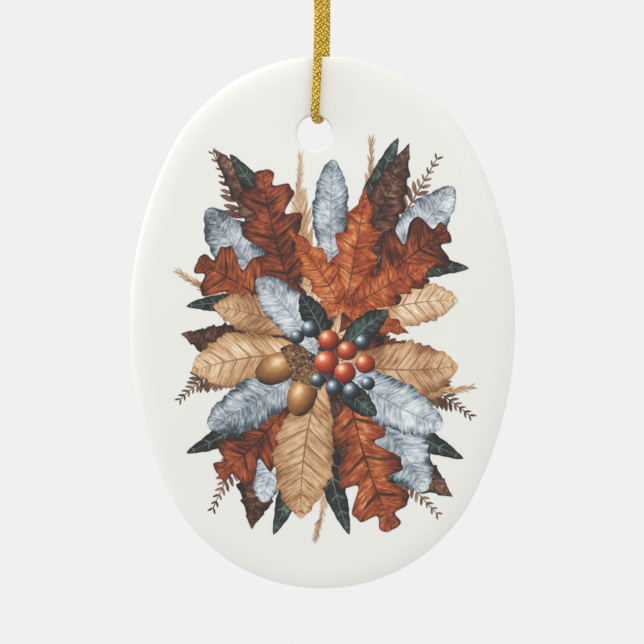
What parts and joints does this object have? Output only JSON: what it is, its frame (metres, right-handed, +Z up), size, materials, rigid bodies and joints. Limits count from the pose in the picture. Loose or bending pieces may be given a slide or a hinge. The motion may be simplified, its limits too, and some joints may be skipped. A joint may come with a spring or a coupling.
{
  "type": "oval porcelain hanging ornament",
  "caption": "Flat oval white porcelain hanging ornament with soft rims and a printed woodland design, on a tied loop of gold cord through a hole near its top.",
  "frame": {"origin": "hook_point: the inside top of the cord loop, just under its knot, where a hook or twig bears", "axes": "+Z up along the hanging cord and the oval's long axis, +X to the right as seen from the decorated face, which looks along -Y"},
  "size_m": [0.071, 0.0068, 0.1396],
  "materials": {
    "glazed_porcelain": "white glazed porcelain, glossy, with a printed design under the gloss",
    "gold_cord": "braided metallic gold thread with a glittering sheen"
  },
  "bodies": {
    "cord_loop": {"hanging_cord": "gold_cord", "cord_knot": "gold_cord", "front_cord_end": "gold_cord", "back_cord_end": "gold_cord"},
    "plaque": {"porcelain_plaque": "glazed_porcelain"}
  },
  "joints": [
    {"name": "plaque_sway", "type": "hinge", "parent": "cord_loop", "child": "plaque", "pos_m": [-0.0007, 0, -0.04002], "axis": [0, 1, 0], "range_deg": [-35, 35]}
  ]
}
